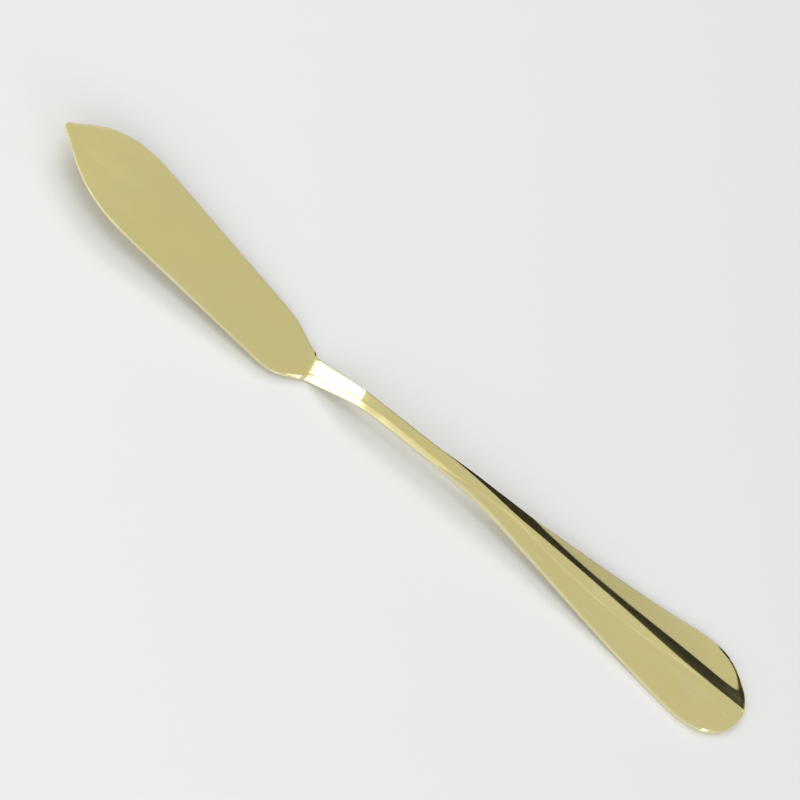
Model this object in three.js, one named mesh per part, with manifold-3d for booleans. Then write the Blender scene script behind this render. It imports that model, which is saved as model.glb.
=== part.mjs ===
// Butter knife of plated steel: a leaf-shaped blade with a flat sloping neck, a handle whose
// middle ridge runs to a flared round end, and the braze that holds the tang in the handle.
// Millimetres, +Z up. X runs from the blade's tip to the handle's end, along the handle's axis.
// -Y is the straight spine side of the blade, +Y its flared belly side.
// The origin lies on the table, under the heel where the blade meets the neck.

import * as THREE from 'three';
import { mergeVertices } from 'three/addons/utils/BufferGeometryUtils.js';
import Module from 'manifold-3d';

// Lengths along X, measured from the heel unless said otherwise
const bladeLength = 61;
const neckLength = 10;
const handleLength = 95.4; // from the end of the neck
const shoulderLength = 9.5; // to where the blade's straight edges begin
const tipCurveLength = 20; // from the tip to where the straight edges end
const heelFlatLength = 1.8; // flat under the heel, half of it on each side

// Blade
const bladeThickness = 1.3;
const tipThickness = 0.7;
const bladeBevelWidth = 0.5;
const bladeBevelDrop = 0.03; // fall of the top over the bevel
const bladePitch = THREE.MathUtils.degToRad(5); // the tip is lifted from the table
const tipFlat = 0.2; // width of the blunt end of the tip
const tipOffset = 4.6; // from the handle's axis, towards the belly
const tipRoundLength = 0.65; // of the tip's rounding, along the blade
const tipRoundWidth = 0.75; // of the same, from the blunt end to its corner
const spineTipSlope = 0.65; // how fast the blade widens behind the rounding
const bellyTipSlope = 0.75;
const tipFlankLength = 4; // how far it goes on at about that slope
const tipFullness = 0.6; // share of the tip curve that keeps to the straight edges
const spineAtTip = -5.05; // the straight spine's ends, from the handle's axis
const spineAtShoulder = -6.25;
const bellyAtTip = 11.65; // the straight belly's ends, from the handle's axis
const bellyAtShoulder = 6.7;
const shoulderFullness = 0.5; // share of the shoulder that keeps to the straight edges
const filletFullness = 0.28; // share of the shoulder that keeps to the neck
const spineOutset = 1.1; // how far outside the neck's line each shoulder runs in
const bellyOutset = -0.2;

// Neck
const neckRootWidth = 5.3;
const neckRootOffset = 0.4; // from the handle's axis, towards the belly
const neckRise = 2.95; // height of the stem's underside where the neck ends
const neckBow = 0.3; // 0 is a straight rise, more is steeper near the heel
const neckBevelWidth = 0.9;
const neckBevelDrop = 0.95; // fall of the top over the bevel
const neckBevelStart = 3.5; // from the heel towards the tip
const heelSoftness = 1.6; // rounding of the top's bends before and behind the heel

// Stem and grip outline
const stemWidth = 3.2;
const stemRootWidth = 3.55; // where the neck ends
const stemRootLength = 5; // over which the stem narrows from there
const gripWidth = 17.55; // where the round end begins
const flareStation = 29.3; // from the end of the neck to the middle of the bend in the edges
const flareBlend = 9; // length of that bend
const gripEndLength = 16; // length of the round end
const gripEndFullness = 2.8; // 2 is an ellipse, more is squarer

// Underside of stem and grip
const archHeight = 3.45;
const archStation = 20; // from the end of the neck to the top of the arch
const archStart = 4; // 1 is a straight rise to the arch's top, more is steeper near the neck
const restLength = 16.5; // flat under the handle's end

// Cross-section of stem and grip
const stemThickness = 1.75;
const stemTopWidth = 1.8;
const stemTopSlope = 1.2; // fall per width of the stem's bevelled top edges
const ridgeThickness = 3.4; // where the ridge is full
const ridgeEndThickness = 2.4;
const crestWidth = 0.3;
const ridgeSlope = 1.45; // fall per width of the ridge's flanks
const footThickness = 1.92; // height the ridge's foot would reach at the middle
const footEndThickness = 2.4;
const footSlope = 0.35; // fall per width of the ridge's foot
const wingEdgeThickness = 0.95;
const wingSlope = 0.06; // rise per width from the wing's edge to the ridge
const crestStart = 16; // from the end of the neck to where the stem's top begins to narrow
const crestFull = 32; // from the end of the neck to where it has become the crest
const ridgeStart = 26; // from the end of the neck to where the ridge begins to rise
const ridgeFull = 70; // from the end of the neck to where it is full
const ridgeEndStation = 8; // from the handle's end to where the ridge has come down
const footStart = 44; // from the end of the neck to where the foot begins to widen
const footFull = 80; // from the end of the neck to where it is full
const endRollDrop = 0.4; // how far the wings' edges roll down round the end
const endRollReach = 0.68; // width of that roll, as a share of the grip's half width squared
const endRollStart = 0.45; // share of the round end where roll and rounding begin
const endRounding = 0.35; // rounding of the top edge round the end
const endRoundingReach = 0.2; // width of that rounding, as for the roll
const topRounding = 0.25; // chamfer along the upper edges
const stemSideHeight = 0.8; // of the stem's widest line above its underside
const stemTuck = 0.65; // how much narrower the stem's underside is on each side
const wingSideHeight = 0.25; // the same two on the wings and on the blade
const wingTuck = 0.25;
const bladeSideHeight = 0.8;
const bladeTuck = 1;
const lowSide = 0.8; // largest share of the side's height that lies below the widest line
const narrowRounding = 0.3; // largest share of a narrow section's half width for chamfer or tuck
const narrowBevel = 0.6; // the same for the blade's bevel near the tip
const narrowFlat = 0.5; // the same for the flat of the crest at the round end

// Brazed joint between tang and handle
const tangLength = 7;
const socketWall = 0.4; // least metal round the socket
const brazeThickness = 0.1;
const tangRoot = 1; // how far the tang's block reaches back into the neck

// Numbers of steps
const tipRoundSteps = 6;
const tipSteps = 14;
const edgeSteps = 8;
const shoulderSteps = 18;
const neckSteps = 12;
const gripSteps = 56;
const endSteps = 26;
const endShort = 0.5; // the last ring stops this part of a step before the end

// Where a section's points lie: shares of the width between its flat and its edge
const kneeLeast = 0.1;
const kneeMost = 0.6;
const valleyGap = 0.1; // least width of the foot
const valleyMost = 0.85;
const wingShares = [1, 0.9, 0.75, 0.5, 0.25]; // points on the wing, from the valley to the edge

// Places worked out from the sizes
const tipX = -bladeLength;
const heelStart = -heelFlatLength / 2;
const neckStart = heelFlatLength / 2;
const handleEnd = neckLength + handleLength;
const restStart = handleEnd - restLength;
const archX = neckLength + archStation;
const flareX = neckLength + flareStation;
const roundStart = handleEnd - gripEndLength;

const { clamp, lerp, smoothstep } = THREE.MathUtils;

// Height of the blade's and neck's underside: the pitched blade, the flat under the heel,
// and the bowed rise of the neck.
function bladeUnderside(x) {
  if (x < heelStart) {
    return (heelStart - x) * Math.tan(bladePitch);
  }
  const share = Math.max(0, x - neckStart) / (neckLength - neckStart);
  return neckRise * ((1 + neckBow) * share - neckBow * share * share);
}

// The value where it is above 0 and else 0, with a round bend between them.
function softPositive(value, softness) {
  return (value + Math.hypot(value, softness)) / 2;
}

// Extra height of the top in the bends before and behind the heel.
function heelFillet(x) {
  const before = heelStart - x;
  const after = x - neckStart;
  const neckSlope = neckRise * (1 + neckBow) / (neckLength - neckStart);
  return (softPositive(before, heelSoftness) - Math.max(0, before)) * Math.tan(bladePitch)
    + (softPositive(after, heelSoftness) - Math.max(0, after)) * neckSlope;
}

// Height of the handle's underside: a low arch that comes down to the flat at the end.
function handleUnderside(x) {
  if (x < archX) {
    const share = (archX - x) / archStation;
    return archHeight - (archHeight - neckRise) * share ** archStart;
  }
  const share = clamp((x - archX) / (restStart - archX), 0, 1);
  return archHeight * (1 + Math.cos(Math.PI * share)) / 2;
}

// Half the handle's width before its end is rounded: the stem, which narrows a little behind
// the neck, a bend and straight flared edges.
function flaredHalfWidth(x) {
  const fullBend = softPositive(roundStart - flareX, flareBlend);
  const bend = softPositive(x - flareX, flareBlend) / fullBend;
  const root = 1 - smoothstep(x - neckLength, 0, stemRootLength);
  return (stemWidth + (gripWidth - stemWidth) * bend + (stemRootWidth - stemWidth) * root) / 2;
}

function endShare(x) {
  return clamp((x - roundStart) / gripEndLength, 0, 1);
}

function handleHalfWidth(x) {
  return flaredHalfWidth(x) * Math.sqrt(1 - endShare(x) ** gripEndFullness);
}

// A section is a bar of half width `half` about y = `middle`, standing on z = `bottom`.
// Its top is flat to half width `flat` at height `thickness` and falls away at `slope`
// until it meets the ridge's foot, which would reach the height `foot` at the middle. The
// foot meets the wing, which rises from `wingEdge` at the side. The side is widest
// `sideHeight` above the bottom, which is narrower by `tuck` on each side. `end` is the
// section's place in the round end, from 0 to 1, and `fullHalf` the half width the section
// would have if the end were not rounded.
function handleSection(x) {
  const half = handleHalfWidth(x);
  const station = x - neckLength;
  const crest = smoothstep(station, crestStart, crestFull);
  const ridge = smoothstep(station, ridgeStart, ridgeFull);
  const ending = smoothstep(x, neckLength + ridgeFull, handleEnd - ridgeEndStation);
  const widening = smoothstep(station, footStart, footFull);
  const bevel = (stemWidth - stemTopWidth) / 2;
  const crestHalf = Math.min(crestWidth / 2, half * narrowFlat);
  return {
    x,
    half,
    fullHalf: flaredHalfWidth(x),
    middle: 0,
    bottom: handleUnderside(x),
    thickness: lerp(lerp(stemThickness, ridgeThickness, ridge), ridgeEndThickness, ending),
    flat: lerp(half - bevel, crestHalf, crest),
    slope: lerp(stemTopSlope, ridgeSlope, crest),
    foot: lerp(wingEdgeThickness, lerp(footThickness, footEndThickness, widening), crest),
    wingEdge: wingEdgeThickness,
    sideHeight: lerp(stemSideHeight, wingSideHeight, crest),
    tuck: lerp(stemTuck, wingTuck, crest),
    end: endShare(x),
  };
}

function bladeSection(x, spine, belly) {
  const half = (belly - spine) / 2;
  const taper = smoothstep(x, tipX, tipX + tipCurveLength);
  const narrowing = smoothstep(x, -neckBevelStart, neckStart);
  const bevel = Math.min(lerp(bladeBevelWidth, neckBevelWidth, narrowing), half * narrowBevel);
  return {
    x,
    half,
    fullHalf: half,
    middle: (belly + spine) / 2,
    bottom: bladeUnderside(x),
    thickness: lerp(tipThickness, bladeThickness, taper) + heelFillet(x),
    flat: half - bevel,
    slope: lerp(bladeBevelDrop, neckBevelDrop, narrowing) / bevel,
    foot: 0,
    wingEdge: 0,
    sideHeight: bladeSideHeight,
    tuck: bladeTuck,
    end: 0,
  };
}

// The neck passes from the blade's section to the stem's.
function neckSection(share) {
  const x = lerp(neckStart, neckLength, share);
  const half = neckRootWidth / 2;
  const root = bladeSection(x, neckRootOffset - half, neckRootOffset + half);
  const stem = handleSection(neckLength);
  const mixed = { ...root };
  const shape = ['half', 'middle', 'thickness', 'flat', 'slope'];
  const sides = ['foot', 'wingEdge', 'sideHeight', 'tuck'];
  for (const key of [...shape, ...sides]) {
    mixed[key] = lerp(root[key], stem[key], share);
  }
  return mixed;
}

// A height that falls by `drop` along a quarter ellipse as `inside` goes from `reach` to 0.
function rolled(height, drop, inside, reach) {
  const share = clamp(1 - inside / Math.max(reach, Number.EPSILON), 0, 1);
  return height - drop * (1 - Math.sqrt(1 - share * share));
}

// Height of a section's top above its bottom, `y` from its middle. `inside` is 0 on the
// round end's outline and grows inwards.
function topHeight(section, y) {
  const { half, flat, thickness, slope, foot, wingEdge, end } = section;
  const inside = 1 - (y / section.fullHalf) ** 2 - end ** gripEndFullness;
  const ridge = thickness - Math.max(0, y - flat) * slope;
  const wing = wingEdge + (half - y) * wingSlope;
  const ending = smoothstep(end, endRollStart, 1);
  const rolledWing = rolled(wing, endRollDrop, inside, endRollReach * ending);
  const top = Math.max(ridge, foot - y * footSlope, rolledWing);
  return rolled(top, endRounding * ending, inside, endRoundingReach * ending);
}

// Points round a section, as y and z, from the lower edge at +Y up and over the top to the
// lower edge at -Y. There are points on the creases between flat, flank, foot and wing.
function sectionPoints(section) {
  const { half, flat, slope, middle, bottom } = section;
  const rounding = Math.min(topRounding, half * narrowRounding);
  const outer = half - rounding;
  const reach = outer - flat;
  const atKnee = (section.thickness + slope * flat - section.foot) / (slope - footSlope);
  const knee = clamp(atKnee, flat + reach * kneeLeast, flat + reach * kneeMost);
  const atValley = (section.foot - section.wingEdge - half * wingSlope) / (footSlope - wingSlope);
  const valley = clamp(atValley, knee + reach * valleyGap, flat + reach * valleyMost);
  const edge = topHeight(section, outer);
  const sideTop = edge - Math.min(rounding, edge / 2);
  const side = [new THREE.Vector2(half - Math.min(section.tuck, half * narrowRounding), 0)];
  side.push(new THREE.Vector2(half, Math.min(section.sideHeight, sideTop * lowSide)));
  side.push(new THREE.Vector2(half, sideTop));
  const across = wingShares.map((share) => lerp(valley, outer, share));
  for (const y of [...across, valley, (valley + knee) / 2, knee, flat]) {
    side.push(new THREE.Vector2(y, topHeight(section, y)));
  }
  const mirrored = side.map((p) => new THREE.Vector2(-p.x, p.y)).reverse();
  return [...side, ...mirrored].map((p) => new THREE.Vector2(middle + p.x, bottom + p.y));
}

// Closed solid through rings of points, each ring at its own x, with flat ends.
function loft(rings) {
  const count = rings[0].points.length;
  const positions = rings.flatMap(({ x, points }) => points.flatMap((p) => [x, p.x, p.y]));
  const index = [];
  for (let ring = 0; ring < rings.length - 1; ring += 1) {
    for (let step = 0; step < count; step += 1) {
      const a = ring * count + step;
      const b = ring * count + (step + 1) % count;
      index.push(a, b, a + count, b, b + count, a + count);
    }
  }
  const last = (rings.length - 1) * count;
  for (const [a, b, c] of THREE.ShapeUtils.triangulateShape(rings[0].points, [])) {
    index.push(a, c, b);
  }
  for (const [a, b, c] of THREE.ShapeUtils.triangulateShape(rings.at(-1).points, [])) {
    index.push(last + a, last + b, last + c);
  }
  const geometry = new THREE.BufferGeometry();
  geometry.setAttribute('position', new THREE.Float32BufferAttribute(positions, 3));
  geometry.setIndex(index);
  return geometry;
}

function loftSections(sections) {
  return loft(sections.map((section) => ({ x: section.x, points: sectionPoints(section) })));
}

// One edge of the blade from tip to neck, as curves in x and y: the tip's rounding, the
// tip's curve, the straight edge and the shoulder, which runs on into the neck's taper.
// Both edges share their x values.
function bladeEdge(side, tipSlope, atTip, atShoulder, outset) {
  const straightStart = tipX + tipCurveLength;
  const tilt = (atShoulder - atTip) / (-shoulderLength - straightStart);
  const onEdge = (x) => new THREE.Vector2(x, atTip + (x - straightStart) * tilt);
  const shoulderSpan = neckStart + shoulderLength;
  const fillet = filletFullness * shoulderSpan;
  const root = neckRootOffset + side * neckRootWidth / 2;
  const taper = (side * handleHalfWidth(neckLength) - root) / (neckLength - neckStart);
  const flank = new THREE.Vector2(1, side * tipSlope);
  const tipEdge = new THREE.Vector2(tipX, tipOffset + side * tipFlat / 2);
  const tipCorner = new THREE.Vector2(tipX, tipEdge.y + side * tipRoundWidth);
  const flankStart = tipCorner.clone().addScaledVector(flank, tipRoundLength);
  return [
    new THREE.QuadraticBezierCurve(tipEdge, tipCorner, flankStart),
    new THREE.CubicBezierCurve(
      flankStart,
      flankStart.clone().addScaledVector(flank, tipFlankLength),
      onEdge(straightStart - tipFullness * tipCurveLength),
      onEdge(straightStart),
    ),
    new THREE.LineCurve(onEdge(straightStart), onEdge(-shoulderLength)),
    new THREE.CubicBezierCurve(
      onEdge(-shoulderLength),
      onEdge(-shoulderLength + shoulderFullness * shoulderSpan),
      new THREE.Vector2(neckStart - fillet, root - taper * fillet + side * outset),
      new THREE.Vector2(neckStart, root),
    ),
  ];
}

function bladeGeometry() {
  const spine = bladeEdge(-1, spineTipSlope, spineAtTip, spineAtShoulder, spineOutset);
  const belly = bladeEdge(1, bellyTipSlope, bellyAtTip, bellyAtShoulder, bellyOutset);
  const sections = [];
  [tipRoundSteps, tipSteps, edgeSteps, shoulderSteps].forEach((steps, part) => {
    for (let step = 0; step < steps; step += 1) {
      const onSpine = spine[part].getPoint(step / steps);
      const onBelly = belly[part].getPoint(step / steps);
      sections.push(bladeSection(onSpine.x, onSpine.y, onBelly.y));
    }
  });
  for (let step = 0; step <= neckSteps; step += 1) {
    sections.push(neckSection(step / neckSteps));
  }
  return loftSections(sections);
}

function handleGeometry() {
  const sections = [];
  for (let step = 0; step < gripSteps; step += 1) {
    sections.push(handleSection(lerp(neckLength, roundStart, step / gripSteps)));
  }
  for (let step = 0; step < endSteps; step += 1) {
    const share = Math.sin(Math.PI / 2 * step / (endSteps - endShort));
    sections.push(handleSection(lerp(roundStart, handleEnd, share)));
  }
  return loftSections(sections);
}

// Four-sided bar inside the stem, `grow` larger than the tang all round. It runs from `fromX`
// to beyond the tang's end by the same amount and follows the stem's slope.
function tangGeometry(grow, fromX) {
  const stem = handleSection(neckLength);
  const endX = neckLength + tangLength;
  const endStem = handleSection(endX);
  const height = (s) => s.bottom + s.thickness / 2;
  const slope = (height(endStem) - height(stem)) / tangLength;
  const halfWidth = endStem.flat - socketWall + grow;
  const halfHeight = stem.thickness / 2 - socketWall - brazeThickness + grow;
  const rings = [fromX, endX + grow].map((x) => {
    const z = height(stem) + (x - neckLength) * slope;
    const corners = [[-1, -1], [1, -1], [1, 1], [-1, 1]];
    const points = corners.map(([y, up]) => new THREE.Vector2(y * halfWidth, z + up * halfHeight));
    return { x, points };
  });
  return loft(rings);
}

const wasm = await Module();
wasm.setup();

function toSolid(geometry) {
  const merged = mergeVertices(geometry);
  return new wasm.Manifold(new wasm.Mesh({
    numProp: 3,
    vertProperties: new Float32Array(merged.attributes.position.array),
    triVerts: new Uint32Array(merged.index.array),
  }));
}

function toGeometry(solid) {
  const mesh = solid.getMesh();
  const geometry = new THREE.BufferGeometry();
  geometry.setAttribute('position', new THREE.BufferAttribute(mesh.vertProperties, 3));
  geometry.setIndex(new THREE.BufferAttribute(mesh.triVerts, 1));
  geometry.computeVertexNormals();
  return geometry;
}

const tang = toSolid(tangGeometry(0, neckLength - tangRoot));
const socket = toSolid(tangGeometry(brazeThickness, neckLength - tangRoot));
const filling = toSolid(tangGeometry(brazeThickness, neckLength));

const goldPlate = { color: '#c9bd80', roughness: 0.22, metalness: 1 };
const brazeMetal = { color: '#cfc49a', roughness: 0.5, metalness: 1 };

function piece(name, solid, finish) {
  const mesh = new THREE.Mesh(toGeometry(solid), new THREE.MeshStandardMaterial(finish));
  mesh.name = name;
  return mesh;
}

const knife = new THREE.Group();
knife.add(piece('blade', toSolid(bladeGeometry()).add(tang), goldPlate));
knife.add(piece('handle', toSolid(handleGeometry()).subtract(socket), goldPlate));
knife.add(piece('braze', filling.subtract(tang), brazeMetal));

export default knife;
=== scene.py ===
"""Looks of a small gold-plated butter knife that lies on a pale floor under soft studio light.

The blade and the handle are finer copies of the knife's solids, in the same frame and with
rounded edges. The ridge, the round end, the tip and the shoulders differ from the solids by
0.6 mm at most. Sizes are in millimetres and become metres in the meshes.
"""

import sys
import math

import bpy
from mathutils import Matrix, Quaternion, Vector


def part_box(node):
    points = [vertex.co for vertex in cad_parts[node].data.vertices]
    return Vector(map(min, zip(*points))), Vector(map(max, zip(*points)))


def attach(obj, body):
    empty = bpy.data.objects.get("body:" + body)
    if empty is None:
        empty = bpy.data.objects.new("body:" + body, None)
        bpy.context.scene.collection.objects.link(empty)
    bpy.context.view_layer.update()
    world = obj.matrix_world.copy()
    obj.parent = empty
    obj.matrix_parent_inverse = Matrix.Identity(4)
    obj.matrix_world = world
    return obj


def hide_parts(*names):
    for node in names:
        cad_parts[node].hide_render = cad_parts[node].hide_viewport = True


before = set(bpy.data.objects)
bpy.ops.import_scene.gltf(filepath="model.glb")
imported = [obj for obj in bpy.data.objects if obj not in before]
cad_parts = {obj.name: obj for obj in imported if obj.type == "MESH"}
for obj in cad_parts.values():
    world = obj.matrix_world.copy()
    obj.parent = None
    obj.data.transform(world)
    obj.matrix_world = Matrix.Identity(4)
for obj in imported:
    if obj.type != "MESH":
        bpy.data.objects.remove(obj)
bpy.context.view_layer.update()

MM = 0.001

# Places along X, read from the solids
TIP_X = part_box("blade")[0].x / MM
NECK_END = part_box("handle")[0].x / MM
HANDLE_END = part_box("handle")[1].x / MM

# Blade
SHOULDER_LENGTH = 9.5
TIP_CURVE_LENGTH = 20
HEEL_FLAT = 1.8
HEEL_SOFTNESS = 1.6
BLADE_THICKNESS = 1.3
TIP_THICKNESS = 0.69
BLADE_BEVEL = 0.5
BLADE_BEVEL_DROP = 0.03
BLADE_PITCH = math.radians(5)
TIP_FLAT = 0.2
TIP_OFFSET = 4.6
TIP_ROUND_LENGTH = 0.65
TIP_ROUND_WIDTH = 0.45
SPINE_TIP_SLOPE = 0.74
BELLY_TIP_SLOPE = 0.66
TIP_FLANK_LENGTH = 4
TIP_FULLNESS = 0.6
SPINE_AT_TIP = -5.05
SPINE_AT_SHOULDER = -6.25
BELLY_AT_TIP = 11.65
BELLY_AT_SHOULDER = 6.7
SHOULDER_FULLNESS = 0.5
FILLET_FULLNESS = 0.28
SPINE_OUTSET = 1.1
BELLY_OUTSET = -0.6

# Neck
NECK_ROOT_WIDTH = 5.3
NECK_ROOT_OFFSET = 0.4
NECK_RISE = 2.95
NECK_BOW = 0.3
NECK_BEVEL = 0.9
NECK_BEVEL_DROP = 0.95
NECK_BEVEL_START = 1
SPINE_TILT_START = 10
BELLY_TILT_START = 1

# Stem and grip: a station, start or full place counts from the neck's end
STEM_WIDTH = 3.2
STEM_ROOT_WIDTH = 3.55
STEM_ROOT_LENGTH = 5
GRIP_WIDTH = 17.55
FLARE_STATION = 29.3
FLARE_BLEND = 9
GRIP_END_LENGTH = 16
GRIP_END_FULLNESS = 2.3
ARCH_HEIGHT = 3.45
ARCH_STATION = 20
ARCH_START_POWER = 4
REST_LENGTH = 16.5
STEM_THICKNESS = 1.75
STEM_TOP_WIDTH = 1.8
STEM_TOP_SLOPE = 1.2
RIDGE_THICKNESS = 3.4
RIDGE_END_THICKNESS = 2.5
CREST_WIDTH = 0.3
RIDGE_SLOPE = 1.45
FOOT_ROOT_THICKNESS = 2.2
FOOT_THICKNESS = 2.01
FOOT_END_THICKNESS = 2.47
FOOT_SLOPE = 0.35
FOOT_END_SLOPE = 0.19
WING_EDGE_THICKNESS = 0.95
WING_END_THICKNESS = 1.68
WING_END_LENGTH = 13
WING_SLOPE = 0.06
CREST_START = 19
CREST_FULL = 38
RIDGE_START = 17
RIDGE_FULL = 62
RIDGE_END_LENGTH = 8
FOOT_ROOT_START = 6
FOOT_ROOT_FULL = 28
FOOT_ROOT_END = 33
FOOT_SETTLED = 44
FOOT_START = 48
FOOT_FULL = 82
# Rim of the round end: reach counts inwards from the rim to 1 in the middle, and start and
# full are shares of the end's length
END_ROLL_DROP = 0.4
END_ROLL_REACH = 0.68
END_ROLL_START = 0.55
END_ROUNDING = 0.65
END_ROUNDING_REACH = 0.22
END_ROUNDING_START = 0.24
END_ROUNDING_FULL = 0.8

# Rounded creases and edges
CREST_SOFTNESS = 0.015
CREASE_SOFTNESS = 0.04
KNEE_SOFTNESS = 0.1
TOP_ROUNDING = 0.05
STEM_SIDE_HEIGHT = 0.8
STEM_TUCK = 0.65
WING_SIDE_HEIGHT = 0.25
WING_TUCK = 0.25
BLADE_SIDE_HEIGHT = 0.8
BLADE_TUCK = 1
# Most that a lower rounding takes of a side, and what others take of a narrow section's half
LOW_SIDE = 0.8
NARROW_ROUNDING = 0.3
NARROW_BEVEL = 0.6
NARROW_FLAT = 0.5
# Width of the paler band along the edges, which is partly wear and partly a painted highlight
# on the rims
WEAR_AND_SHEEN_WIDTH = 0.5

NECK_START = HEEL_FLAT / 2
HEEL_START = -HEEL_FLAT / 2
REST_START = HANDLE_END - REST_LENGTH
ARCH_X = NECK_END + ARCH_STATION
FLARE_X = NECK_END + FLARE_STATION
ROUND_START = HANDLE_END - GRIP_END_LENGTH


def lerp(a, b, share):
    return a + (b - a) * share


def clamp(value, low, high):
    return max(low, min(high, value))


def smoothstep(value, low, high):
    share = clamp((value - low) / (high - low), 0, 1)
    return share * share * (3 - 2 * share)


def soft_positive(value, softness):
    """The value where it is above 0 and else 0, with a round bend between them."""
    return (value + math.hypot(value, softness)) / 2


def soft_larger(a, b, softness):
    """The larger of two heights, with a round bend where they are alike."""
    return b + soft_positive(a - b, softness)


def blade_underside(x):
    if x < HEEL_START:
        return (HEEL_START - x) * math.tan(BLADE_PITCH)
    share = max(0, x - NECK_START) / (NECK_END - NECK_START)
    return NECK_RISE * ((1 + NECK_BOW) * share - NECK_BOW * share * share)


def heel_fillet(x):
    """Extra height of the top in the bends before and behind the heel."""
    before, after = HEEL_START - x, x - NECK_START
    neck_slope = NECK_RISE * (1 + NECK_BOW) / (NECK_END - NECK_START)
    at_blade = (soft_positive(before, HEEL_SOFTNESS) - max(0, before)) * math.tan(BLADE_PITCH)
    at_neck = (soft_positive(after, HEEL_SOFTNESS) - max(0, after)) * neck_slope
    return at_blade + at_neck


def handle_underside(x):
    if x < ARCH_X:
        share = (ARCH_X - x) / ARCH_STATION
        return ARCH_HEIGHT - (ARCH_HEIGHT - NECK_RISE) * share ** ARCH_START_POWER
    share = clamp((x - ARCH_X) / (REST_START - ARCH_X), 0, 1)
    return ARCH_HEIGHT * (1 + math.cos(math.pi * share)) / 2


def flared_half_width(x):
    """Half the handle's width before its end is rounded."""
    full_bend = soft_positive(ROUND_START - FLARE_X, FLARE_BLEND)
    bend = soft_positive(x - FLARE_X, FLARE_BLEND) / full_bend
    root = 1 - smoothstep(x - NECK_END, 0, STEM_ROOT_LENGTH)
    flare = (GRIP_WIDTH - STEM_WIDTH) * bend
    root_extra = (STEM_ROOT_WIDTH - STEM_WIDTH) * root
    return (STEM_WIDTH + flare + root_extra) / 2


def end_share(x):
    return clamp((x - ROUND_START) / GRIP_END_LENGTH, 0, 1)


def handle_half_width(x):
    return flared_half_width(x) * math.sqrt(1 - end_share(x) ** GRIP_END_FULLNESS)


def handle_section(x):
    """Section of the handle: a flat top, steep flanks, a shallow foot and thin wings."""
    half = handle_half_width(x)
    station = x - NECK_END
    crest = smoothstep(station, CREST_START, CREST_FULL)
    ridge = smoothstep(station, RIDGE_START, RIDGE_FULL)
    ending = smoothstep(x, NECK_END + RIDGE_FULL, HANDLE_END - RIDGE_END_LENGTH)
    widening = smoothstep(station, FOOT_START, FOOT_FULL)
    thickening = smoothstep(x, HANDLE_END - WING_END_LENGTH, HANDLE_END)
    bevel = (STEM_WIDTH - STEM_TOP_WIDTH) / 2
    crest_half = min(CREST_WIDTH / 2, half * NARROW_FLAT)
    rooting = smoothstep(station, FOOT_ROOT_START, FOOT_ROOT_FULL)
    settling = smoothstep(station, FOOT_ROOT_END, FOOT_SETTLED)
    foot = lerp(WING_EDGE_THICKNESS, FOOT_ROOT_THICKNESS, rooting)
    foot = lerp(lerp(foot, FOOT_THICKNESS, settling), FOOT_END_THICKNESS, widening)
    ridge_thickness = lerp(STEM_THICKNESS, RIDGE_THICKNESS, ridge)
    return {
        "x": x,
        "half": half,
        "full_half": flared_half_width(x),
        "middle": 0,
        "bottom": handle_underside(x),
        "thickness": lerp(ridge_thickness, RIDGE_END_THICKNESS, ending),
        "flat": lerp(half - bevel, crest_half, crest),
        "slope": lerp(STEM_TOP_SLOPE, RIDGE_SLOPE, crest),
        "foot": foot,
        "foot_slope": lerp(FOOT_SLOPE, FOOT_END_SLOPE, thickening),
        "wing_edge": lerp(WING_EDGE_THICKNESS, WING_END_THICKNESS, thickening),
        "side_height": lerp(STEM_SIDE_HEIGHT, WING_SIDE_HEIGHT, crest),
        "tuck": lerp(STEM_TUCK, WING_TUCK, crest),
        "end": end_share(x),
    }


def blade_section(x, spine, belly, tilt_start):
    """Section of the blade between the y of its spine and that of its belly."""
    half = (belly - spine) / 2
    taper = smoothstep(x, TIP_X, TIP_X + TIP_CURVE_LENGTH)
    narrowing = smoothstep(x, -NECK_BEVEL_START, NECK_START)
    tilting = smoothstep(x, -tilt_start, NECK_START)
    bevel = min(lerp(BLADE_BEVEL, NECK_BEVEL, narrowing), half * NARROW_BEVEL)
    blade_slope = BLADE_BEVEL_DROP / BLADE_BEVEL
    neck_slope = NECK_BEVEL_DROP / NECK_BEVEL
    return {
        "x": x,
        "half": half,
        "full_half": half,
        "middle": (belly + spine) / 2,
        "bottom": blade_underside(x),
        "thickness": lerp(TIP_THICKNESS, BLADE_THICKNESS, taper) + heel_fillet(x),
        "flat": half - bevel,
        "slope": lerp(blade_slope, neck_slope, tilting),
        "foot": 0,
        "foot_slope": FOOT_SLOPE,
        "wing_edge": 0,
        "side_height": BLADE_SIDE_HEIGHT,
        "tuck": BLADE_TUCK,
        "end": 0,
    }


def neck_section(share):
    """The neck passes from the blade's section to the stem's."""
    x = lerp(NECK_START, NECK_END, share)
    half = NECK_ROOT_WIDTH / 2
    mixed = blade_section(x, NECK_ROOT_OFFSET - half, NECK_ROOT_OFFSET + half, BELLY_TILT_START)
    stem = handle_section(NECK_END)
    for key, value in stem.items():
        if key not in ("x", "bottom"):
            mixed[key] = lerp(mixed[key], value, share)
    return mixed


def rolled(height, drop, inside, reach):
    """A height that falls by the drop on a quarter ellipse as inside goes from reach to 0."""
    share = clamp(1 - inside / max(reach, sys.float_info.epsilon), 0, 1)
    return height - drop * (1 - math.sqrt(1 - share * share))


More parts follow.
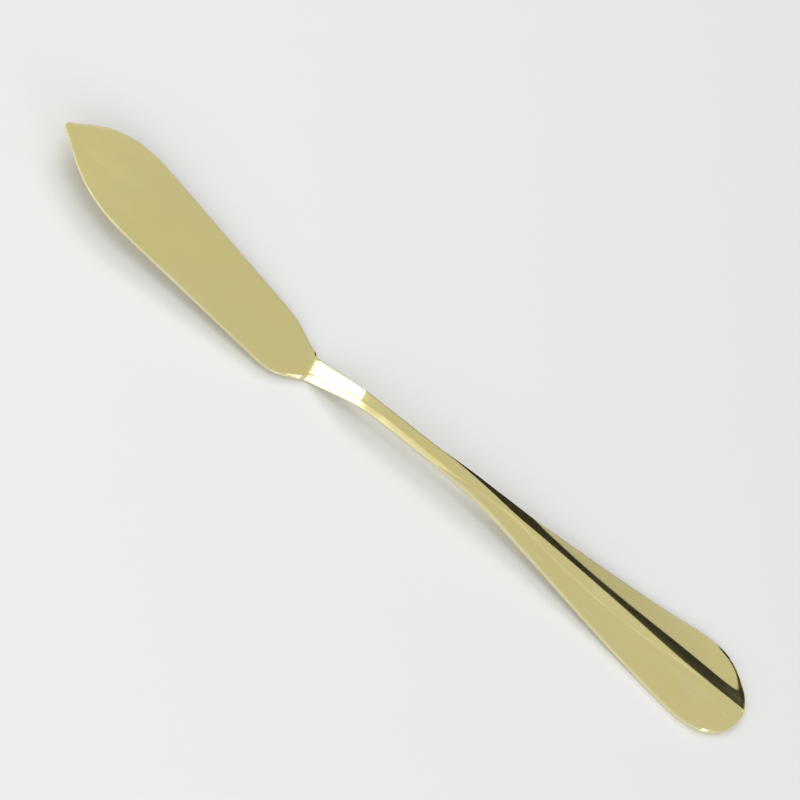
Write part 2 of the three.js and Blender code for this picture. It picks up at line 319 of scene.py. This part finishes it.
def top_height(section, y):
    """Height of a section's top above its bottom, y from its middle."""
    end = section["end"]
    inside = 1 - (y / section["full_half"]) ** 2 - end ** GRIP_END_FULLNESS
    past_flat = soft_positive(y - section["flat"], CREST_SOFTNESS)
    ridge = section["thickness"] - past_flat * section["slope"]
    foot = section["foot"] - max(y, section["flat"]) * section["foot_slope"]
    wing = section["wing_edge"] + (section["half"] - y) * WING_SLOPE
    rolling = smoothstep(end, END_ROLL_START, 1)
    wing = rolled(wing, END_ROLL_DROP, inside, END_ROLL_REACH * rolling)
    top = soft_larger(soft_larger(ridge, foot, KNEE_SOFTNESS), wing, CREASE_SOFTNESS)
    ending = smoothstep(end, END_ROUNDING_START, END_ROUNDING_FULL)
    return rolled(top, END_ROUNDING * ending, inside, END_ROUNDING_REACH * ending)


# Least room beside the valley, as a share of the flank, and the share of it between stops
VALLEY_MARGIN = 0.03
STOP_SHARE = 0.4


def top_stops(section, outer):
    """Places on the top from its edge to its middle: the creases and both sides of each."""
    flat = section["flat"]
    margin = (outer - flat) * VALLEY_MARGIN
    valley = section["foot"] - section["wing_edge"] - section["half"] * WING_SLOPE
    valley = clamp(valley / (section["foot_slope"] - WING_SLOPE), flat + margin, outer - margin)
    soft = min(CREASE_SOFTNESS, margin * STOP_SHARE)
    return outer, valley + soft, valley, valley - soft, flat + soft, flat, flat - soft, 0


CORNER_STEPS = 6
TOP_COUNTS = (16, 3, 3, 30, 3, 3, 4)


def half_ring(section):
    """Half a section from its lower edge to its middle: y, z and how near an edge is."""
    half = section["half"]
    rounding = min(TOP_ROUNDING, half * NARROW_ROUNDING)
    outer = half - rounding
    edge = top_height(section, outer)
    rise = min(rounding, edge / 2)
    low = min(section["side_height"], (edge - rise) * LOW_SIDE)
    tuck = min(section["tuck"], half * NARROW_ROUNDING)
    side = []
    for step in range(CORNER_STEPS + 1):
        turn = math.pi / 2 * step / CORNER_STEPS
        side.append((half - tuck * (1 - math.sin(turn)), low * (1 - math.cos(turn)), 1))
    for step in range(CORNER_STEPS):
        turn = math.pi / 2 * step / CORNER_STEPS
        side.append((outer + rounding * math.cos(turn), edge - rise * (1 - math.sin(turn)), 1))
    stops = top_stops(section, outer)
    places = [outer]
    for start, end, count in zip(stops, stops[1:], TOP_COUNTS):
        places += [lerp(start, end, (step + 1) / count) for step in range(count)]
    for y in places:
        side.append((y, top_height(section, y), clamp(1 - (outer - y) / WEAR_AND_SHEEN_WIDTH, 0, 1)))
    return side


def section_ring(section, spine_section=None):
    """Points of one section, from the lower edge at +Y up over the top and down at -Y.

    The half at -Y may follow a section of its own. The fourth coordinate says how near the
    point is to an edge, from 0 to 1; it sets the pale edge band, partly wear and partly a
    painted highlight.
    """
    belly_side = half_ring(section)
    spine_side = half_ring(spine_section or section)
    mirrored = [(-y, z, edge_wear_and_sheen) for y, z, edge_wear_and_sheen in reversed(spine_side[:-1])]
    return [
        (section["x"] * MM, (section["middle"] + y) * MM, (section["bottom"] + z) * MM, edge_wear_and_sheen)
        for y, z, edge_wear_and_sheen in belly_side + mirrored
    ]


SHARP_ANGLE = math.radians(35)


def loft(name, rings):
    """Closed mesh through rings of points, with flat ends and smooth sides."""
    count = len(rings[0])
    faces = []
    for ring in range(len(rings) - 1):
        for step in range(count):
            a = ring * count + step
            b = ring * count + (step + 1) % count
            faces.append((a, b, b + count, a + count))
    last = (len(rings) - 1) * count
    faces.append(tuple(reversed(range(count))))
    faces.append(tuple(range(last, last + count)))
    points = [point for ring in rings for point in ring]
    mesh = bpy.data.meshes.new(name)
    mesh.from_pydata([point[:3] for point in points], [], faces)
    edge_wear_and_sheen = mesh.attributes.new("edge_wear_and_sheen", "FLOAT", "POINT")
    edge_wear_and_sheen.data.foreach_set("value", [point[3] for point in points])
    mesh.shade_smooth()
    mesh.set_sharp_from_angle(angle=SHARP_ANGLE)
    piece = bpy.data.objects.new(name, mesh)
    bpy.context.scene.collection.objects.link(piece)
    return piece


def bezier(points, share):
    """Point on the Bezier curve with these control points."""
    while len(points) > 1:
        points = [a.lerp(b, share) for a, b in zip(points, points[1:])]
    return points[0]


def blade_edge(side, tip_slope, at_tip, at_shoulder, outset):
    """Control points of tip rounding, tip curve, straight edge and shoulder, in x and y."""
    start = TIP_X + TIP_CURVE_LENGTH
    tilt = (at_shoulder - at_tip) / (-SHOULDER_LENGTH - start)

    def on_edge(x):
        return Vector((x, at_tip + (x - start) * tilt))

    span = NECK_START + SHOULDER_LENGTH
    fillet = FILLET_FULLNESS * span
    root = NECK_ROOT_OFFSET + side * NECK_ROOT_WIDTH / 2
    taper = (side * handle_half_width(NECK_END) - root) / (NECK_END - NECK_START)
    flank = Vector((1, side * tip_slope))
    tip_edge = Vector((TIP_X, TIP_OFFSET + side * TIP_FLAT / 2))
    tip_corner = Vector((TIP_X, tip_edge.y + side * TIP_ROUND_WIDTH))
    flank_start = tip_corner + flank * TIP_ROUND_LENGTH
    return (
        (tip_edge, tip_corner, flank_start),
        (
            flank_start,
            flank_start + flank * TIP_FLANK_LENGTH,
            on_edge(start - TIP_FULLNESS * TIP_CURVE_LENGTH),
            on_edge(start),
        ),
        (on_edge(start), on_edge(-SHOULDER_LENGTH)),
        (
            on_edge(-SHOULDER_LENGTH),
            on_edge(-SHOULDER_LENGTH + SHOULDER_FULLNESS * span),
            Vector((NECK_START - fillet, root - taper * fillet + side * outset)),
            Vector((NECK_START, root)),
        ),
    )


BLADE_STEPS = (24, 60, 24, 60)
NECK_STEPS = 60
GRIP_STEPS = 200
END_STEPS = 80
# Share of a step that is left before the very end, where a section has no width
STEP_LEFT = 0.5


def add_blade():
    spine = blade_edge(-1, SPINE_TIP_SLOPE, SPINE_AT_TIP, SPINE_AT_SHOULDER, SPINE_OUTSET)
    belly = blade_edge(1, BELLY_TIP_SLOPE, BELLY_AT_TIP, BELLY_AT_SHOULDER, BELLY_OUTSET)
    rings = []
    for part, steps in enumerate(BLADE_STEPS):
        for step in range(steps):
            low = bezier(spine[part], step / steps)
            high = bezier(belly[part], step / steps)
            halves = [
                blade_section(low.x, low.y, high.y, tilt_start)
                for tilt_start in (BELLY_TILT_START, SPINE_TILT_START)
            ]
            rings.append(section_ring(*halves))
    for step in range(NECK_STEPS + 1):
        rings.append(section_ring(neck_section(step / NECK_STEPS)))
    return loft("blade_leaf", rings)


def add_handle():
    rings = []
    for step in range(GRIP_STEPS):
        x = lerp(NECK_END, ROUND_START, step / GRIP_STEPS)
        rings.append(section_ring(handle_section(x)))
    for step in range(END_STEPS):
        share = math.sin(math.pi / 2 * step / (END_STEPS - STEP_LEFT))
        x = lerp(ROUND_START, HANDLE_END, share)
        rings.append(section_ring(handle_section(x)))
    return loft("handle_grip", rings)


class Nodes:
    """Short ways to add nodes to a material and to link them."""

    def __init__(self, name):
        self.material = bpy.data.materials.new(name)
        self.material.use_nodes = True
        self.tree = self.material.node_tree
        self.shader = self.tree.nodes["Principled BSDF"]
        self.place = self.add("ShaderNodeTexCoord").outputs["Object"]

    def add(self, kind, **values):
        node = self.tree.nodes.new(kind)
        for name, value in values.items():
            setattr(node, name, value)
        return node

    def link(self, source, target):
        self.tree.links.new(source, target)

    def noise(self, frequency, detail):
        """Noise whose frequency per metre may differ along the axes."""
        stretch = self.add("ShaderNodeMapping")
        stretch.inputs["Scale"].default_value = frequency
        self.link(self.place, stretch.inputs["Vector"])
        noise = self.add("ShaderNodeTexNoise")
        noise.inputs["Scale"].default_value = 1
        noise.inputs["Detail"].default_value = detail
        self.link(stretch.outputs["Vector"], noise.inputs["Vector"])
        return noise.outputs["Fac"]

    def spread(self, source, span, result):
        """Maps one range of values to another."""
        spread = self.add("ShaderNodeMapRange", interpolation_type="SMOOTHSTEP")
        sockets = ("From Min", "From Max", "To Min", "To Max")
        for socket, value in zip(sockets, (*span, *result)):
            spread.inputs[socket].default_value = value
        self.link(source, spread.inputs["Value"])
        return spread.outputs["Result"]

    def combine(self, operation, a, b):
        """Sum, product or the like of two values."""
        result = self.add("ShaderNodeMath", operation=operation)
        self.link(a, result.inputs[0])
        self.link(b, result.inputs[1])
        return result.outputs["Value"]

    def mix(self, share, a, b):
        """Colour between two, each a socket or a fixed colour."""
        mix = self.add("ShaderNodeMix", data_type="RGBA")
        # Numbers, because the sockets of all data types share their names
        self.link(share, mix.inputs[0])
        for socket, colour in ((mix.inputs[6], a), (mix.inputs[7], b)):
            if isinstance(colour, tuple):
                socket.default_value = (*colour, 1)
            else:
                self.link(colour, socket)
        return mix.outputs[2]

    def bump(self, height, depth, below=None):
        """Normal of a relief of that depth in metres, on top of the one below it."""
        bump = self.add("ShaderNodeBump")
        bump.inputs["Distance"].default_value = depth
        self.link(height, bump.inputs["Height"])
        if below:
            self.link(below, bump.inputs["Normal"])
        return bump.outputs["Normal"]


GOLD = (0.83, 0.743, 0.34)
WARM_GOLD = (0.85, 0.743, 0.318)
# Pale gold of the polishing streaks and of the edge band; on the edges it is partly wear and
# partly a painted highlight
PALE_STREAK_WEAR_AND_SHEEN_GOLD = (0.88, 0.825, 0.52)
# Frequency per metre along each axis, and detail, of each noise
POLISH_NOISE = ((50, 2600, 2600), 4)
CLOUD_NOISE = ((70, 110, 110), 2)
GRAIN_NOISE = ((9000, 9000, 9000), 2)
WIPE_NOISE = ((25, 260, 260), 3)
# Ranges of the noises over which the look changes
CLOUD_SPAN = (0.35, 0.65)
STREAK_SPAN = (0.45, 0.75)
EDGE_SPAN = (0.3, 0.6)
ROUGH_SPAN = (0.4, 0.7)
STREAK_TINT = 0.35
# Share of pale gold on the edges: partly wear, partly a painted highlight on the rims
EDGE_WEAR_AND_SHEEN = (0.35, 0.8)
ROUGHNESS = (0.14, 0.2)
STREAK_ROUGHNESS = 0.05
# Depths of relief, in metres
GRAIN_DEPTH = 0.0000008
POLISH_DEPTH = 0.000003


def gold_material(name, streaks):
    """Polished gold plate: lengthwise polishing streaks, faint smudges, and paler edges that
    are partly wear and partly a painted highlight.
    """
    gold = Nodes(name)
    polish = gold.noise(*POLISH_NOISE)
    cloud = gold.noise(*CLOUD_NOISE)
    grain = gold.noise(*GRAIN_NOISE)
    wipe = gold.noise(*WIPE_NOISE)

    tone = gold.mix(gold.spread(cloud, CLOUD_SPAN, (0, 1)), GOLD, WARM_GOLD)
    streak = gold.spread(polish, STREAK_SPAN, (0, STREAK_TINT * streaks))
    streaked = gold.mix(streak, tone, PALE_STREAK_WEAR_AND_SHEEN_GOLD)
    # Paler edges: partly wear, partly a painted highlight along the rims
    edge_wear_and_sheen = gold.add("ShaderNodeAttribute", attribute_name="edge_wear_and_sheen").outputs["Fac"]
    edge = gold.combine("MULTIPLY", edge_wear_and_sheen, gold.spread(cloud, EDGE_SPAN, EDGE_WEAR_AND_SHEEN))
    gold.link(gold.mix(edge, streaked, PALE_STREAK_WEAR_AND_SHEEN_GOLD), gold.shader.inputs["Base Color"])

    gold.shader.inputs["Metallic"].default_value = 1
    smudges = gold.spread(wipe, ROUGH_SPAN, ROUGHNESS)
    scratches = gold.spread(polish, ROUGH_SPAN, (0, STREAK_ROUGHNESS * streaks))
    gold.link(gold.combine("ADD", smudges, scratches), gold.shader.inputs["Roughness"])
    fine = gold.bump(grain, GRAIN_DEPTH)
    gold.link(gold.bump(polish, POLISH_DEPTH * streaks, fine), gold.shader.inputs["Normal"])
    return gold.material


BRAZE = (0.62, 0.55, 0.33)
FLUX = (0.3, 0.24, 0.14)
SKIN_NOISE = ((3000, 3000, 3000), 4)
SPECK_NOISE = ((1500, 1500, 1500), 2)
SKIN_SPAN = (0.3, 0.7)
SPECK_SPAN = (0.55, 0.7)
BRAZE_ROUGHNESS = (0.4, 0.6)
SKIN_DEPTH = 0.00002


def braze_material():
    """Dull brazing metal with a cast skin and darker specks of flux."""
    braze = Nodes("braze_metal")
    skin = braze.noise(*SKIN_NOISE)
    specks = braze.noise(*SPECK_NOISE)
    colour = braze.mix(braze.spread(specks, SPECK_SPAN, (0, 1)), BRAZE, FLUX)
    braze.link(colour, braze.shader.inputs["Base Color"])
    braze.shader.inputs["Metallic"].default_value = 1
    roughness = braze.spread(skin, SKIN_SPAN, BRAZE_ROUGHNESS)
    braze.link(roughness, braze.shader.inputs["Roughness"])
    braze.link(braze.bump(skin, SKIN_DEPTH), braze.shader.inputs["Normal"])
    return braze.material


# Half the floor's width and its depth under the knife, in metres
FLOOR_REACH = 6
FLOOR_DROP = 0.00002
FLOOR_COLOUR = (0.7, 0.7, 0.69, 1)
FLOOR_ROUGHNESS = 0.8


def add_floor():
    mesh = bpy.data.meshes.new("floor")
    corners = ((-1, -1), (1, -1), (1, 1), (-1, 1))
    points = [(x * FLOOR_REACH, y * FLOOR_REACH, -FLOOR_DROP) for x, y in corners]
    mesh.from_pydata(points, [], [(0, 1, 2, 3)])
    floor = bpy.data.objects.new("floor", mesh)
    bpy.context.scene.collection.objects.link(floor)
    material = bpy.data.materials.new("floor")
    material.use_nodes = True
    shader = material.node_tree.nodes["Principled BSDF"]
    shader.inputs["Base Color"].default_value = FLOOR_COLOUR
    shader.inputs["Roughness"].default_value = FLOOR_ROUGHNESS
    shader.inputs["Specular IOR Level"].default_value = 0
    mesh.materials.append(material)


CAMERA_AZIMUTH = math.radians(-24.52)
CAMERA_ELEVATION = math.radians(51.2)
CAMERA_ROLL = math.radians(58.48)
CAMERA_AIM = Vector((16.64, 4.88, 3.95)) * MM
CAMERA_DISTANCE = 0.6
# Focal length in millimetres, on the default sensor
CAMERA_LENS = 151.21


def add_camera():
    flat = math.cos(CAMERA_ELEVATION)
    towards = Vector((
        math.sin(CAMERA_AZIMUTH) * flat,
        -math.cos(CAMERA_AZIMUTH) * flat,
        math.sin(CAMERA_ELEVATION),
    ))
    data = bpy.data.cameras.new("camera")
    data.lens = CAMERA_LENS
    camera = bpy.data.objects.new("camera", data)
    camera.location = CAMERA_AIM + towards * CAMERA_DISTANCE
    camera.rotation_mode = "QUATERNION"
    roll = Quaternion((0, 0, 1), CAMERA_ROLL)
    camera.rotation_quaternion = towards.to_track_quat("Z", "Y") @ roll
    bpy.context.scene.collection.objects.link(camera)
    bpy.context.scene.camera = camera


# Each lamp's name, direction from the origin, distance and size in metres, and radiance
LAMPS = (
    ("key", (-0.33, 0.58, 0.745), 0.96, (0.7, 0.45), 2.6),
    ("fill", (-0.215, -0.845, 0.49), 0.8, (0.66, 0.55), 2.2),
    ("side", (0.26, -0.85, 0.45), 0.9, (0.5, 0.25), 0.13),
    ("top", (-0.42, -0.05, 0.9), 0.8, (0.3, 0.55), 2.6),
    ("rim", (0.63, -0.44, 0.25), 0.8, (0.26, 0.28), 5),
)


def add_softbox(name, towards, distance, size, radiance):
    """Rectangular lamp in that direction from the origin, turned to it."""
    data = bpy.data.lights.new(name, "AREA")
    data.shape = "RECTANGLE"
    data.size, data.size_y = size
    data.energy = radiance * math.pi * size[0] * size[1]
    lamp = bpy.data.objects.new(name, data)
    direction = Vector(towards).normalized()
    lamp.location = direction * distance
    lamp.rotation_mode = "QUATERNION"
    lamp.rotation_quaternion = direction.to_track_quat("Z", "Y")
    bpy.context.scene.collection.objects.link(lamp)


ROOM_COLOUR = (1, 1, 1, 1)
ROOM_LIGHT = 0.655
ROOM_DARK = 0.03
# The dark stretch of wall: where the direction's product with each vector has passed its range
DARK_FIELDS = (
    ((0.208, 0.978, 0), (0.45, 0.6)),
    ((-0.707, 0.707, 0), (0, 0.09)),
    ((0, 0, -1), (-0.615, -0.57)),
)


def add_world():
    """An even pale room with one dark stretch of wall, low on the belly side."""
    world = bpy.data.worlds.new("studio")
    world.use_nodes = True
    nodes, links = world.node_tree.nodes, world.node_tree.links
    place = nodes.new("ShaderNodeTexCoord").outputs["Generated"]
    dark = None
    for vector, (low, high) in DARK_FIELDS:
        product = nodes.new("ShaderNodeVectorMath")
        product.operation = "DOT_PRODUCT"
        product.inputs[1].default_value = vector
        links.new(place, product.inputs[0])
        share = nodes.new("ShaderNodeMapRange")
        share.interpolation_type = "SMOOTHSTEP"
        share.inputs["From Min"].default_value = low
        share.inputs["From Max"].default_value = high
        links.new(product.outputs["Value"], share.inputs["Value"])
        if dark is None:
            dark = share.outputs["Result"]
            continue
        both = nodes.new("ShaderNodeMath")
        both.operation = "MULTIPLY"
        links.new(dark, both.inputs[0])
        links.new(share.outputs["Result"], both.inputs[1])
        dark = both.outputs["Value"]
    level = nodes.new("ShaderNodeMapRange")
    level.inputs["To Min"].default_value = ROOM_LIGHT
    level.inputs["To Max"].default_value = ROOM_DARK
    links.new(dark, level.inputs["Value"])
    links.new(level.outputs["Result"], nodes["Background"].inputs["Strength"])
    nodes["Background"].inputs["Color"].default_value = ROOM_COLOUR
    bpy.context.scene.world = world


# Strength of the polishing streaks
BLADE_STREAKS = 0.3
HANDLE_STREAKS = 1

for piece, node, streaks in (
    (add_blade(), "blade", BLADE_STREAKS),
    (add_handle(), "handle", HANDLE_STREAKS),
):
    piece.data.materials.append(gold_material(piece.name + "_gold", streaks))
    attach(piece, "root")
    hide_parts(node)
for material_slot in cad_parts["braze"].material_slots:
    material_slot.material = braze_material()
add_floor()
add_camera()
for lamp in LAMPS:
    add_softbox(*lamp)
add_world()
bpy.context.scene.view_settings.view_transform = "Standard"
